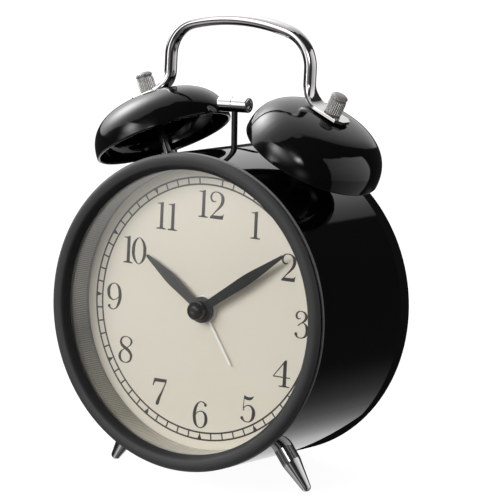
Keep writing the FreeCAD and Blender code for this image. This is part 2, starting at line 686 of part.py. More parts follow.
def rod_section(centre, along, flatness):
    """Closed section square to the rod: round at flatness 0 and a flat bar at flatness 1."""
    across = Vector(0, 1, 0)
    upward = along.cross(across)
    round_corner = ROD_RADIUS * math.sqrt(0.5)
    round_pull = ROD_RADIUS * 0.3905
    half_width = round_corner + (FOOT_PLATE_HALF_WIDTH - round_corner) * flatness
    half_height = round_corner + (FOOT_PLATE / 2 - round_corner) * flatness

    def point(a, b):
        return centre + across * a + upward * b

    edges = []
    for turn in range(4):
        wide, high = (half_width, half_height) if turn % 2 == 0 else (half_height, half_width)
        inset = round_pull + (wide * 2 / 3 - round_pull) * flatness
        bulge = round_pull * (1 - flatness)
        side = [(-wide, high), (-wide + inset, high + bulge), (wide - inset, high + bulge), (wide, high)]
        for i in range(turn):
            side = [(b, -a) for a, b in side]
        curve = Part.BezierCurve()
        curve.setPoles([point(a, b) for a, b in side])
        edges.append(curve.toShape())
    return Part.Wire(edges)


def make_handle_foot(leg_x):
    """Right-hand bend and foot plate under a leg at leg_x, and the height where the leg ends."""
    slope = math.radians(POST_TILT)
    turn = math.pi / 2 - slope
    down_foot = Vector(math.cos(slope), 0, -math.sin(slope))
    plate_middle = seat(1) + post_direction(1) * (FOOT_PLATE / 2)
    reach = (plate_middle.x - leg_x) / down_foot.x
    corner = plate_middle - down_foot * reach
    tangent = BEND_RADIUS * math.tan(turn / 2)
    bend_end = corner + down_foot * tangent
    bend_centre = Vector(leg_x + BEND_RADIUS, SEAT_Y, corner.z + tangent)

    sections = []
    for step in range(5):
        share = step / 4
        angle = turn * share
        centre = bend_centre + Vector(-math.cos(angle), 0, -math.sin(angle)) * BEND_RADIUS
        along = Vector(math.sin(angle), 0, -math.cos(angle))
        sections.append(rod_section(centre, along, share * share * (3 - 2 * share)))
    bend = Part.makeLoft(sections, True, False)

    length = (plate_middle - bend_end).Length + FOOT_PLATE_END
    wide, clip = FOOT_PLATE_HALF_WIDTH, 1.9
    corners = [(0, -wide), (length - clip, -wide), (length, clip - wide), (length, wide - clip),
               (length - clip, wide), (0, wide)]
    low = bend_end - post_direction(1) * (FOOT_PLATE / 2)
    ring = [low + down_foot * a + Vector(0, 1, 0) * b for a, b in corners]
    plate = Part.Face(Part.makePolygon(ring + ring[:1])).extrude(post_direction(1) * FOOT_PLATE)
    plate = plate.cut(aim(disc(POST_RADIUS, -1, 3), seat(1), post_direction(1)))
    return bend.fuse(plate), bend_centre.z


def make_handle():
    right_foot, right_end = make_handle_foot(LEG_X + HANDLE_MIDDLE_X)
    left_foot, left_end = make_handle_foot(LEG_X - HANDLE_MIDDLE_X)

    def place(x, z):
        return Vector(x + HANDLE_MIDDLE_X, SEAT_Y, z)

    # Crown and shoulder arcs meet tangentially on the line through both centres
    crown_z = HANDLE_TOP - CROWN_RADIUS
    shoulder_x = LEG_X - SHOULDER_RADIUS
    gap = CROWN_RADIUS - SHOULDER_RADIUS
    shoulder_z = crown_z + math.sqrt(gap ** 2 - shoulder_x ** 2)
    join_angle = math.asin(shoulder_x / gap)
    join = (CROWN_RADIUS * math.sin(join_angle), crown_z + CROWN_RADIUS * math.cos(join_angle))
    half_way = (join_angle + math.pi / 2) / 2
    shoulder = (shoulder_x + SHOULDER_RADIUS * math.sin(half_way),
                shoulder_z + SHOULDER_RADIUS * math.cos(half_way))
    left_join, left_shoulder = place(-join[0], join[1]), place(-shoulder[0], shoulder[1])
    left_top, right_top = place(-LEG_X, shoulder_z), place(LEG_X, shoulder_z)
    path = Part.Wire([
        Part.makeLine(place(-LEG_X, left_end), left_top),
        Part.Arc(left_top, left_shoulder, left_join).toShape(),
        Part.Arc(left_join, place(0, HANDLE_TOP), place(*join)).toShape(),
        Part.Arc(place(*join), place(*shoulder), right_top).toShape(),
        Part.makeLine(right_top, place(LEG_X, right_end))])
    rod = path.makePipeShell([rod_section(place(-LEG_X, left_end), Vector(0, 0, 1), 0)], True, False)
    return rod.fuse([right_foot, mirrored(left_foot)])


# Hammer: a chromed head on a black rod that rocks on a pin inside the drum, with the
# armature magnet of the striker at its lower end

def leaned(shape):
    """A hammer piece built upright, leaned towards the left bell about the pivot pin."""
    moved = shape.copy()
    moved.rotate(Vector(0, HAMMER_Y, PIVOT_Z), AXIS, -HAMMER_LEAN)
    return moved


def make_hammer_head():
    radius, half = HEAD_RADIUS, HEAD_HALF_LENGTH
    body = turned(
        (0, -half), (radius - 0.5, -half), (radius - 0.15, 0.15 - half, radius, 0.5 - half),
        (radius, -0.35), (radius - 0.15, -0.2), (radius - 0.15, 0.0), (radius, 0.15),
        (radius, half - 0.5), (radius - 0.15, half - 0.15, radius - 0.5, half), (radius - 1.0, half),
        (radius - 1.2, half - 0.7), (0, half - 0.7))
    head = aim(body, Vector(0, HAMMER_Y, PIVOT_Z + HEAD_HEIGHT), Vector(1, 0, 0))
    rod_hole = Part.makeCylinder(HAMMER_ROD_RADIUS, HEAD_HEIGHT, Vector(0, HAMMER_Y, PIVOT_Z))
    return leaned(head.cut(rod_hole))


def make_hammer_arm():
    hub = disc(2.2, HAMMER_Y - 1.4, HAMMER_Y + 1.4, 0, PIVOT_Z)
    rod = Part.makeCylinder(HAMMER_ROD_RADIUS, HEAD_HEIGHT, Vector(0, HAMMER_Y, PIVOT_Z))
    tongue = block((-0.8, 0.8), (HAMMER_Y - 1.4, HAMMER_Y + 1.4), (PIVOT_Z - 3.2, PIVOT_Z))
    arm = hub.fuse(rod).fuse(tongue)
    return leaned(arm.cut(disc(PIN_RADIUS + 0.06, HAMMER_Y - 2, HAMMER_Y + 2, 0, PIVOT_Z)))


def make_hammer_magnet():
    low, high = PIVOT_Z - 6.2, PIVOT_Z - 3.2
    return leaned(block((-1.7, 1.7), (HAMMER_Y - 1.4, HAMMER_Y + 1.4), (low, high)))


BRACKET_FRONT = 29.2
BRACKET_BACK = 30.2
YOKE_INNER = 4.2
YOKE_OUTER = 6.7


def make_striker_bracket():
    """Bent sheet on top of the movement: an upright for the pivot pin and the yoke, and a foot."""
    upright = flat(BRACKET_FRONT, BRACKET_BACK, (-10, MOVEMENT_TOP), (10, MOVEMENT_TOP), (10, 26),
                   (4, PIVOT_Z + 2.5), (0, PIVOT_Z + 4.2, -4, PIVOT_Z + 2.5), (-10, 26))
    foot = block((-10, 10), (19, BRACKET_FRONT), (MOVEMENT_TOP, MOVEMENT_TOP + 1))
    return upright.fuse(foot).cut(disc(PIN_RADIUS, BRACKET_FRONT, BRACKET_BACK, 0, PIVOT_Z))


def make_hammer_pin():
    front = HAMMER_Y - 3.0
    head = disc(1.8, front, front + 0.8, 0, PIVOT_Z)
    stop = disc(1.8, HAMMER_Y + 1.7, BRACKET_FRONT, 0, PIVOT_Z)
    return head.fuse(stop).fuse(disc(PIN_RADIUS, front, BRACKET_BACK, 0, PIVOT_Z))


def make_striker_yoke():
    low, high = 17.2, 30.5
    yoke = flat(24.6, 27.1, (-YOKE_OUTER, low), (YOKE_OUTER, low), (YOKE_OUTER, high),
                (YOKE_INNER, high), (YOKE_INNER, low + 2.4), (-YOKE_INNER, low + 2.4),
                (-YOKE_INNER, high), (-YOKE_OUTER, high))
    for side in (-1, 1):
        xs = sorted((side * YOKE_INNER, side * YOKE_OUTER))
        yoke = yoke.fuse(block(xs, (27.1, BRACKET_FRONT), (23, 27)))
    return yoke


def make_striker_coil():
    """Winding and its two cheeks round the yoke's crossbar."""
    middle_y, middle_z = 25.85, 18.4
    start = Vector(-YOKE_INNER, middle_y, middle_z)
    along = Vector(1, 0, 0)
    length = 2 * YOKE_INNER
    coil = Part.makeCylinder(2.6, length, start, along)
    for x in (-YOKE_INNER, YOKE_INNER - 0.8):
        coil = coil.fuse(Part.makeCylinder(3.1, 0.8, Vector(x, middle_y, middle_z), along))
    return coil.cut(block((-YOKE_INNER, YOKE_INNER), (24.6, 27.1), (17.2, 19.6)))


# Feet: turned and chromed, seated on the drum and held by a stud and a nut inside

def make_foot(side):
    """Turned foot: a short cylinder against the drum, a long taper and a round tip, on a stud."""
    radius, end = FOOT_TIP_RADIUS, FOOT_LENGTH
    foot = turned(
        (0, -1.6), (FOOT_RADIUS, -1.6), (FOOT_RADIUS, 4.3),
        (FOOT_RADIUS - 0.03, 4.8, FOOT_RADIUS - 0.12, 5.3),
        (radius, end - radius), (radius * math.sqrt(0.5), end - radius * (1 - math.sqrt(0.5)), 0, end))
    placed = aim(foot, foot_root(side), foot_direction(side)).cut(disc(DRUM_RADIUS, 0, 60))
    return placed.fuse(aim(disc(POST_RADIUS, -5.9, end - 5), foot_root(side), foot_direction(side)))


def make_foot_nuts():
    nuts = []
    for name, side in SIDES:
        nut = aim(hexagon(5.5, POST_RADIUS, 4.5), foot_root(side) - foot_direction(side) * 4.2,
                  foot_direction(side))
        nuts.append(nut.common(disc(DRUM_RADIUS - SHEET, 0, 60)))
    return Part.makeCompound(nuts)


PIECES = {
    "housing": make_housing(),
    "bezel": make_bezel(),
    "lens": disc(LENS_RADIUS, LENS_FRONT, LENS_BACK),
    "light_ring": make_light_ring(),
    "dial": disc(DIAL_RADIUS, DIAL_FRONT, DIAL_BACK).cut(disc(3.0, DIAL_FRONT, DIAL_BACK)),
    "inner_frame": make_inner_frame(),
    "rear_cover": make_rear_cover(),
    "rear_cover_screws": make_cover_screws(),
    "battery_door": make_battery_door(),
    "battery": make_battery(),
    "battery_contacts": make_battery_contacts(),
    "minute_hand": make_minute_hand(),
    "centre_cap": make_centre_cap(),
    "minute_arbor": make_minute_arbor(),
    "hour_hand": make_hour_hand(),
    "hour_wheel": make_hour_wheel(),
    "alarm_hand": make_alarm_hand(),
    "alarm_wheel": make_alarm_wheel(),
    "minute_wheel": make_minute_wheel(),
    "time_set_shaft": make_time_shaft(),
    "time_set_knob": make_knob(TIME_SHAFT),
    "alarm_set_shaft": make_alarm_shaft(),
    "alarm_set_knob": make_knob(ALARM_SHAFT),
    "movement_plate": make_movement_plate(),
    "movement_case": make_movement_case(),
    "movement_screws": make_movement_screws(),
    "circuit_board": make_circuit_board(),
    "quartz_crystal": make_quartz_crystal(),
    "motor_stator": make_motor_stator(),
    "motor_coil": make_motor_coil(),
    "dial_lamp": make_dial_lamp(),
    "alarm_switch": make_alarm_switch(),
    "alarm_switch_body": make_switch_body(),
    "light_button": make_light_button(),
    "light_switch_body": make_light_switch(),
    "handle": make_handle(),
    "post_nuts": make_post_nuts(),
    "hammer_head": make_hammer_head(),
    "hammer_arm": make_hammer_arm(),
    "hammer_magnet": make_hammer_magnet(),
    "hammer_pin": make_hammer_pin(),
    "striker_bracket": make_striker_bracket(),
    "striker_yoke": make_striker_yoke(),
    "striker_coil": make_striker_coil(),
    "foot_nuts": make_foot_nuts(),
}
for name, side in SIDES:
    PIECES["bell_" + name] = make_bell(side, PIECES["handle"])
    PIECES["bell_post_" + name] = make_post(side)
    PIECES["thumb_nut_" + name] = make_thumb_nut(side)
    PIECES["foot_" + name] = make_foot(side)


# Standing: the lean puts the round foot tips and the round rear edge on one plane

def standing_placement():
    tip_radius = FOOT_TIP_RADIUS
    tip = foot_root(1) + foot_direction(1) * (FOOT_LENGTH - tip_radius)
    edge_y = DRUM_BACK - REAR_CURL
    edge_z = -(DRUM_RADIUS - REAR_CURL)
    apart = math.hypot(edge_y - tip.y, edge_z - tip.z)
    lean = math.atan2(edge_z - tip.z, edge_y - tip.y) - math.asin((REAR_CURL - tip_radius) / apart)
    rotation = FreeCAD.Rotation(Vector(1, 0, 0), -math.degrees(lean))
    tip_low = rotation.multVec(Vector(0, tip.y, tip.z)).z - tip_radius
    return FreeCAD.Placement(Vector(0, 0, -tip_low - FOOT_FLAT), rotation), math.degrees(lean)


def stand_up():
    """Leans every piece back, flattens the contact points by FOOT_FLAT and centres the footprint."""
    placement, lean = standing_placement()
    box = FreeCAD.BoundBox()
    for name in PIECES:
        PIECES[name].Placement = placement.multiply(PIECES[name].Placement)
    below = block((-100, 100), (-100, 150), (-5, 0))
    for name in ("foot_left", "foot_right", "housing"):
        PIECES[name] = PIECES[name].cut(below)
    for shape in PIECES.values():
        box.add(shape.optimalBoundingBox())
    shift = Vector(-box.Center.x, -box.Center.y, 0)
    for shape in PIECES.values():
        shape.translate(shift)
    print("lean", round(lean, 4), "shift", round(shift.x, 4), round(shift.y, 4),
          "lift", round(placement.Base.z, 4))
    print("size", round(box.XLength, 2), round(box.YLength, 2), round(box.ZLength, 2),
          "low", round(box.ZMin, 4))


stand_up()
os.makedirs("parts", exist_ok=True)
for name, shape in PIECES.items():
    for solid in shape.Solids:
        if solid.Volume <= 0:
            solid.reverse()
    if not shape.isValid():
        print("not valid:", name)
    shape.exportStep("parts/" + name + ".step")
    print(name, len(shape.Solids), round(shape.Volume, 2))
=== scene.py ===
import math

import bmesh
import bpy
from mathutils import Matrix, Vector


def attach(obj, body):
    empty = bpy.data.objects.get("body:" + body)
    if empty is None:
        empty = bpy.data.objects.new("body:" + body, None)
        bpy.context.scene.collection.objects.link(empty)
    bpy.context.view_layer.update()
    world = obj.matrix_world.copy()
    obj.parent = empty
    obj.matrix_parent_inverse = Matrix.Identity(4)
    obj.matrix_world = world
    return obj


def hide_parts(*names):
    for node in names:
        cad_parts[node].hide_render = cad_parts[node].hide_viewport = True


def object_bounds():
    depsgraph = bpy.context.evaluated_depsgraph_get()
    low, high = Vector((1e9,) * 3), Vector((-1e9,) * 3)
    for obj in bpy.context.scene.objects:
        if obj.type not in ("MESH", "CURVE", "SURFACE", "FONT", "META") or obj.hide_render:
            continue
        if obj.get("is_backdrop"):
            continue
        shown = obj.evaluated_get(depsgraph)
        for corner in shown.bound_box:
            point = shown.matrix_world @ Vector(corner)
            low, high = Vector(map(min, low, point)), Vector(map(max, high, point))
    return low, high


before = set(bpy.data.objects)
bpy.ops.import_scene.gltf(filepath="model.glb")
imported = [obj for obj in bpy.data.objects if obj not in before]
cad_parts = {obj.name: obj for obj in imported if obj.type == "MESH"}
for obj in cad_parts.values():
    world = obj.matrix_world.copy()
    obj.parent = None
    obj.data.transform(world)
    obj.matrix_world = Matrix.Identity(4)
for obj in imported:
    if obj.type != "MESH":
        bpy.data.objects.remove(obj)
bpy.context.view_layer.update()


# Camera. A long lens from the right of the dial and a little above, where the drum's right side shows.
# It stands about 1.2 m away. Its place is in metres and its turns are in degrees.
CAMERA_PLACE = (0.65704898, -0.98952182, 0.35772981)
CAMERA_TURNS = (76.28583, 1.05749, 33.0145)
CAMERA_LENS = 287.772
camera = bpy.data.objects.new("camera", bpy.data.cameras.new("camera"))
bpy.context.scene.collection.objects.link(camera)
camera.location = CAMERA_PLACE
camera.rotation_euler = [math.radians(turn) for turn in CAMERA_TURNS]
camera.data.sensor_width = 36
camera.data.lens = CAMERA_LENS
camera.data.shift_x = -0.001
camera.data.shift_y = 0.001
camera.data.clip_start = 0.05
camera.data.clip_end = 20
bpy.context.scene.camera = camera


# Studio light. A wide white cloth hangs over and behind the clock on its left, with a lamp close behind
# it. Soft lamps stand in front, a white panel on the right and a pale table below, in a dim room.
# Turns and heights are in degrees round the clock, 0 straight in front and 90 on the right.
class Wire:
    """One output in a node tree. Sums, products and so on of wires and numbers add Math nodes."""

    def __init__(self, graph, socket):
        self.graph = graph
        self.socket = socket

    def math(self, operation, first, second):
        return self.graph.node("ShaderNodeMath", {"operation": operation}, {0: first, 1: second})

    def __add__(self, other):
        return self.math("ADD", self, other)

    def __radd__(self, other):
        return self.math("ADD", other, self)

    def __sub__(self, other):
        return self.math("SUBTRACT", self, other)

    def __rsub__(self, other):
        return self.math("SUBTRACT", other, self)

    def __mul__(self, other):
        return self.math("MULTIPLY", self, other)

    def __rmul__(self, other):
        return self.math("MULTIPLY", other, self)

    def __truediv__(self, other):
        return self.math("DIVIDE", self, other)

    def __pow__(self, other):
        return self.math("POWER", self, other)


class Graph:
    """Adds nodes to one node tree."""

    def __init__(self, tree):
        self.tree = tree

    def node(self, kind, settings=None, sockets=None, out=0):
        made = self.tree.nodes.new(kind)
        for name, value in (settings or {}).items():
            if name == "stops":
                ramp = made.color_ramp.elements
                while len(ramp) < len(value):
                    ramp.new(0.5)
                for element, (place, colour) in zip(ramp, value):
                    element.position = place
                    element.color = colour
            else:
                setattr(made, name, value)
        for name, value in (sockets or {}).items():
            if isinstance(value, Wire):
                self.tree.links.new(value.socket, made.inputs[name])
            else:
                made.inputs[name].default_value = value
        return Wire(self, made.outputs[out] if len(made.outputs) else None)

    def rise(self, value, at, soft):
        """0 below a value and 1 above it, with a soft edge."""
        return self.node("ShaderNodeMapRange", {"interpolation_type": "SMOOTHSTEP"},
                         {"Value": value, "From Min": at - soft, "From Max": at + soft})

    def between(self, value, low, high, soft):
        """1 where the value lies between low and high, with soft edges."""
        return self.rise(value, low, soft) * (1 - self.rise(value, high, soft))


def grey(value):
    return (value, value, value, 1)


world = bpy.data.worlds.new("studio")
world.use_nodes = True
world.node_tree.nodes.clear()
bpy.context.scene.world = world
light = Graph(world.node_tree)
way = light.node("ShaderNodeTexCoord", out=0)
split = light.node("ShaderNodeSeparateXYZ", {}, {0: way})
way_x, way_y, way_z = [Wire(light, socket) for socket in split.socket.node.outputs]
height = light.node("ShaderNodeMath", {"operation": "ARCSINE"}, {0: way_z}) * (180 / math.pi)


def turn_from(centre):
    """Degrees round the clock, counted from a centre."""
    c, s = math.cos(math.radians(centre)), math.sin(math.radians(centre))
    along = way_x * s - way_y * c
    across = way_x * c + way_y * s
    angle = light.node("ShaderNodeMath", {"operation": "ARCTAN2"}, {0: across, 1: along})
    return angle * (180 / math.pi)


def spot(turn, level, width):
    """Round soft spot of light, 1 in its middle, at a turn and a height, with the spread of a bell curve."""
    a, b, w = math.radians(turn), math.radians(level), math.radians(width)
    nearness = (way_x * (math.sin(a) * math.cos(b)) - way_y * (math.cos(a) * math.cos(b))
                + way_z * math.sin(b))
    return light.node("ShaderNodeMath", {"operation": "EXPONENT"}, {0: (nearness - 1) / (w * w)})


def panel(turn_low, turn_high, low, high, soft=3, side_soft=3):
    """1 in an upright rectangle of the room, given by turns and heights in degrees."""
    middle, half = (turn_low + turn_high) / 2, (turn_high - turn_low) / 2
    return (light.between(turn_from(middle), -half, half, side_soft)
            * light.between(height, low, high, soft))


def around(most, *stops):
    """Value that changes round the room, given by pairs of a turn and a value up to the most."""
    ramp = [((turn + 180) / 360, grey(value / most)) for turn, value in stops]
    return light.node("ShaderNodeValToRGB", {"stops": ramp}, {0: turn_from(0) / 360 + 0.5}) * most


LAMP = (-101, 36)
CLOTH_END = (-165, 22)
LOW_LAMP = (-29, 25)
LOW_LAMP_FOOT = (-33, 0)
FRONT_LAMP = (16.5, 17)
ROOM = 0.034
hem = around(90, (-180, 8), (-170, 0), (-95, 0), (-85, 2), (-75, 10), (-65, 18), (-55, 23), (-45, 31),
             (-35, 37), (-25, 43), (-15, 57), (-5, 70), (5, 76), (95, 80), (115, 78), (125, 73), (135, 64),
             (145, 45), (155, 33), (165, 21.3), (175, 12), (180, 8))
above_hem = height - hem
hem_soft = around(6, (-100, 1), (-75, 3), (20, 3), (60, 1))
far_end = light.between(turn_from(140), -30, 38, 8)
cloth = (light.rise(above_hem, 0, hem_soft) * (0.03 + 1.3 * spot(*LAMP, 40) + 0.5 * spot(*CLOTH_END, 28))
         * (1 - 0.55 * far_end * (1 - light.rise(above_hem, 8, 12))))
lamp = 8.6 * spot(*LAMP, 13.2) * light.rise(height, 0, 2)
low_lamp = (5.8 * spot(*LOW_LAMP, 7.6) * (1 - light.rise(height, 33, 1.5))
            + (2.4 * light.rise(height, -1.2, 1.3)
               + 0.75 * light.rise(-1 * turn_from(-33.4), 0, 1.3)) * spot(*LOW_LAMP_FOOT, 6)
            + 0.9 * spot(-14, 16, 8))
front_lamp = ((9.5 * spot(*FRONT_LAMP, 4.1) + 0.9 * spot(8, 27, 4) + 0.5 * spot(-2, 20, 11))
              * (1 - light.rise(turn_from(0), 23.5, 1.5)))
panel_top = around(90, (67, 34), (115, 34), (125, 30), (135, 27), (146, 22))
panel_light = ((0.84 + 0.0105 * turn_from(98)) * (0.62 + 0.38 * light.rise(height, -6, 19))
               * (0.62 + 0.38 * light.rise(height, -22.5, 1.5)))
right_panel = (panel(67, 144, -60, 90, 4, 1.5) * (1 - light.rise(height - panel_top, 0, 1.5))
               * panel_light)
table_light = around(1.2, (-180, 0.36), (-175, 0.48), (-168, 0.75), (-160, 1.1), (-140, 0.8), (-125, 0.12),
                     (20, 0.12), (30, 0), (152, 0), (160, 0.05), (170, 0.16), (178, 0.32))
table_edge = around(30, (-180, 0), (-168, 0), (-156, 20), (-135, 20), (-124, 0)) - 30
table_left = around(0.7, (-135, 0), (-120, 0.6), (-40, 0.6), (-20, 0)) * (1 - light.rise(height, -42, 5))
table = (table_light + table_left) * (1 - light.rise(height, table_edge, 4))
low_sheet = 0.5 * spot(15, -15, 6) + 0.6 * spot(-30, -33, 9)
radiance = ROOM + low_sheet + cloth + lamp + low_lamp + front_lamp + right_panel + table
sky = light.node("ShaderNodeBackground", {}, {"Color": grey(1), "Strength": radiance})
light.node("ShaderNodeOutputWorld", {}, {"Surface": sky})
bpy.context.scene.view_settings.view_transform = "Standard"
bpy.context.scene.view_settings.look = "None"


def soft_light(name, place, size, power):
    """Square area light that faces the clock, seen by nothing that mirrors."""
    lamp_data = bpy.data.lights.new(name, "AREA")
    lamp_data.size = size
    lamp_data.energy = power
    made = bpy.data.objects.new(name, lamp_data)
    bpy.context.scene.collection.objects.link(made)
    made.location = place
    made.rotation_euler = (Vector((0, 0, 0.06)) - Vector(place)).to_track_quat("-Z", "Y").to_euler()
    made.visible_glossy = False


soft_light("key", (-0.42, -1.08, 1.02), 1.2, 25)


# Floor and backdrop. A white sheet lit from below under the clock, and a white wall far round it.
# Neither is seen by anything that mirrors.
FLOOR_RADIUS = 5
WALL_RADIUS = 4.9
WALL_HEIGHT = 6
WALL_MIDDLE = 2.9


def finish(name, **sockets):
    """Material with one Principled shader. Returns the material, its graph and the shader's node."""
    material = bpy.data.materials.new(name)
    material.use_nodes = True
    material.node_tree.nodes.clear()
    graph = Graph(material.node_tree)
    shader = graph.node("ShaderNodeBsdfPrincipled")
    graph.node("ShaderNodeOutputMaterial", {}, {"Surface": shader})
    node = shader.socket.node
    for socket, value in sockets.items():
        node.inputs[socket.replace("_", " ")].default_value = value
    return material, graph, node


def into(graph, node, socket, wire):
    graph.tree.links.new(wire.socket, node.inputs[socket])


def add_object(name, mesh, material=None):
    made = bpy.data.objects.new(name, mesh)
    bpy.context.scene.collection.objects.link(made)
    if material:
        mesh.materials.clear()
        mesh.materials.append(material)
    return made


paper, _, _ = finish("pale_paper", Base_Color=grey(0.06), Roughness=0.9, Emission_Color=grey(1),
                     Emission_Strength=0.96)
disc = bmesh.new()
bmesh.ops.create_circle(disc, cap_ends=True, segments=96, radius=FLOOR_RADIUS)
sheet = bpy.data.meshes.new("floor")
disc.to_mesh(sheet)
disc.free()
floor = add_object("floor", sheet, paper)
floor.visible_glossy = False
floor.visible_diffuse = False
floor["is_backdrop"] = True

white, _, _ = finish("pale_wall", Base_Color=grey(0), Roughness=1.0, Emission_Color=grey(1),
                     Emission_Strength=1.0)
wall = bmesh.new()
bmesh.ops.create_cone(wall, cap_ends=False, segments=96, radius1=WALL_RADIUS, radius2=WALL_RADIUS,
                      depth=WALL_HEIGHT)
bmesh.ops.translate(wall, verts=wall.verts, vec=(0, 0, WALL_MIDDLE))
curtain = bpy.data.meshes.new("backdrop")
wall.to_mesh(curtain)
wall.free()
backdrop = add_object("backdrop", curtain, white)
for ray in ("visible_glossy", "visible_diffuse", "visible_shadow", "visible_transmission"):
    setattr(backdrop, ray, False)
backdrop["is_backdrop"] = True


# Drum. Deep-drawn steel, stoved in gloss black enamel, with a rolled front edge and a slot for the
# hammer's rod. A band of matt black ends it at the back; low down the band is widened as painted shade.
LEAN = math.radians(6.9228)
UPRIGHT_TO_WORLD = (Matrix.Translation((0, -0.0269186, 0.0542562)) @ Matrix.Rotation(-LEAN, 4, "X")
                    @ Matrix.Scale(0.001, 4))
BAND_FRONT = 48.1
# Below this height the matt band is widened forward: painted shade.
BAND_SHADE_BELOW = 32
BAND_SHADE_WIDENING = 1.2


def place(graph):
    return graph.node("ShaderNodeTexCoord", out=3)


def upright(graph):
    """Place in millimetres in the upright clock: X right, Y back along the drum, Z up."""
    turned = graph.node("ShaderNodeMapping", {"vector_type": "TEXTURE"}, {
        "Vector": place(graph), "Location": UPRIGHT_TO_WORLD.translation, "Rotation": (-LEAN, 0, 0),
        "Scale": (0.001, 0.001, 0.001)})
    parts = graph.node("ShaderNodeSeparateXYZ", {}, {0: turned})
    return [Wire(graph, socket) for socket in parts.socket.node.outputs]


def noise(graph, scale, detail=2.0):
    """Value from 0 to 1 that wanders over a surface. Scale is in features per metre."""
    return graph.node("ShaderNodeTexNoise", {}, {"Vector": place(graph), "Scale": scale, "Detail": detail})


def bump(graph, node, height_wire, distance, strength=1.0):
    """Relief of that height in metres."""
    relief = graph.node("ShaderNodeBump", {}, {
        "Height": height_wire, "Distance": distance, "Strength": strength})
    into(graph, node, "Normal", relief)


def dress(material, *names):
    for name in names:
        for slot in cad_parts[name].material_slots:
            slot.material = material


def mesh_of(name, points, faces, smooth=None):
    """Mesh from points in millimetres in the upright clock. Smooth gives the angle that stays sharp."""
    mesh = bpy.data.meshes.new(name)
    mesh.from_pydata([tuple(p) for p in points], [], faces)
    tidy = bmesh.new()
    tidy.from_mesh(mesh)
    bmesh.ops.remove_doubles(tidy, verts=tidy.verts, dist=0.0005)
    bmesh.ops.recalc_face_normals(tidy, faces=tidy.faces)
    tidy.to_mesh(mesh)
    tidy.free()
    if smooth:
        mesh.shade_smooth()
        mesh.set_sharp_from_angle(angle=math.radians(smooth))
    return mesh


def turned_ring(name, profile, material, steps=240):
    """Ring turned about the drum's axis from a closed profile of radius and Y."""
    count = len(profile)
    points = [(r * math.sin(2 * math.pi * i / steps), y, r * math.cos(2 * math.pi * i / steps))
              for i in range(steps) for r, y in profile]
    faces = []
    for i in range(steps):
        j = (i + 1) % steps
        for k in range(count):
            m = (k + 1) % count
            faces.append((i * count + k, i * count + m, j * count + m, j * count + k))
    mesh = mesh_of(name, points, faces, smooth=28)
    mesh.transform(UPRIGHT_TO_WORLD)
    ring = add_object(name, mesh, material)
    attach(ring, "case")
    return ring


enamel, g, n = finish("black_enamel", Base_Color=grey(0.002), IOR=1.5)
into(g, n, "Roughness", 0.03 + 0.03 * noise(g, 260, 4))
bump(g, n, noise(g, 420, 1), 0.000004, 0.5)

banded, g, n = finish("banded_enamel", Base_Color=grey(0.002), IOR=1.5)
into(g, n, "Roughness", 0.03 + 0.03 * noise(g, 260, 4))
bump(g, n, noise(g, 420, 1), 0.000004, 0.5)
matt = g.node("ShaderNodeBsdfPrincipled", {}, {
    "Base Color": grey(0.011), "Specular IOR Level": 0.0, "Roughness": 0.30 + 0.06 * noise(g, 6000, 2)})
_, back, up = upright(g)
# Low down the matt band reaches further forward, as painted shade.
painted_shade_low = g.node("ShaderNodeMath", {"operation": "MAXIMUM"}, {0: -1 * up - BAND_SHADE_BELOW, 1: 0.0})
mixed = g.node("ShaderNodeMixShader", {}, {
    0: g.rise(back + painted_shade_low * BAND_SHADE_WIDENING, BAND_FRONT, 0.06), 1: Wire(g, n.outputs[0]), 2: matt})
into(g, banded.node_tree.nodes["Material Output"], "Surface", mixed)
dress(banded, "housing")

# Lighter enamel on the rolled front edge: a painted highlight for the edge's reflection line.
painted_highlight_edge, g, n = finish("edge_painted_highlight", Base_Color=grey(0.12))
into(g, n, "Roughness", 0.3 + 0.1 * noise(g, 3000, 2))
EDGE_RADIUS = 0.5
EDGE_CENTRE = (47.89, 3.85)
edge_profile = [(EDGE_CENTRE[0] + EDGE_RADIUS * math.cos(k * math.pi / 8),
                 EDGE_CENTRE[1] + EDGE_RADIUS * math.sin(k * math.pi / 8)) for k in range(16)]
drum_edge = turned_ring("drum_front_edge", edge_profile, painted_highlight_edge)


# Bezel. Spun steel ring, sprayed satin black with a very fine grain. A sharp inner bevel drops to the
# glass, the face is all but flat, and its outer edge is rolled back to the drum.
BEVEL_EDGE = 44.6
satin, g, n = finish("satin_black", Specular_IOR_Level=0.2)
grain = noise(g, 9000, 2)
across, _, up = upright(g)
radius = (across * across + up * up) ** 0.5
# The inner bevel, inside BEVEL_EDGE, gets a darker base than the face: painted shade on the same satin paint.
into(g, n, "Base Color", g.node("ShaderNodeMix", {"data_type": "RGBA"}, {
    0: g.rise(radius, BEVEL_EDGE, 0.5), 6: grey(0.011), 7: grey(0.035)}, out=2))
into(g, n, "Roughness", 0.48 + 0.10 * grain)
bump(g, n, grain, 0.000006, 0.4)

BEZEL_PROFILE = (
    (43.3, 3.2), (43.3, 2.7), (44.65, 0.66), (44.8, 0.45), (45.0, 0.31), (45.5, 0.17), (46.0, 0.08),
    (46.4, 0.05), (46.9, 0.12), (47.3, 0.26), (47.65, 0.48), (47.95, 0.8), (48.2, 1.15), (48.35, 1.5),
    (48.4, 1.8), (48.35, 1.98), (48.2, 2.05), (47.3, 2.1), (47.3, 3.7), (46.6, 3.7), (46.6, 3.2))
bezel = turned_ring("bezel_ring", BEZEL_PROFILE, satin)
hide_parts("bezel")


# Glass. Flat clear disc of window glass, held behind the bezel's inner lip.
# It mirrors a little of the room, more where it is seen at a slant.
glass, g, n = finish("clear_glass", Base_Color=(1, 1, 1, 1), Metallic=1.0)
into(g, n, "Roughness", 0.02 + 0.02 * noise(g, 40, 1))
into(g, n, "Alpha", g.node("ShaderNodeFresnel", {}, {"IOR": 1.45}) * 0.9)
dress(glass, "lens")


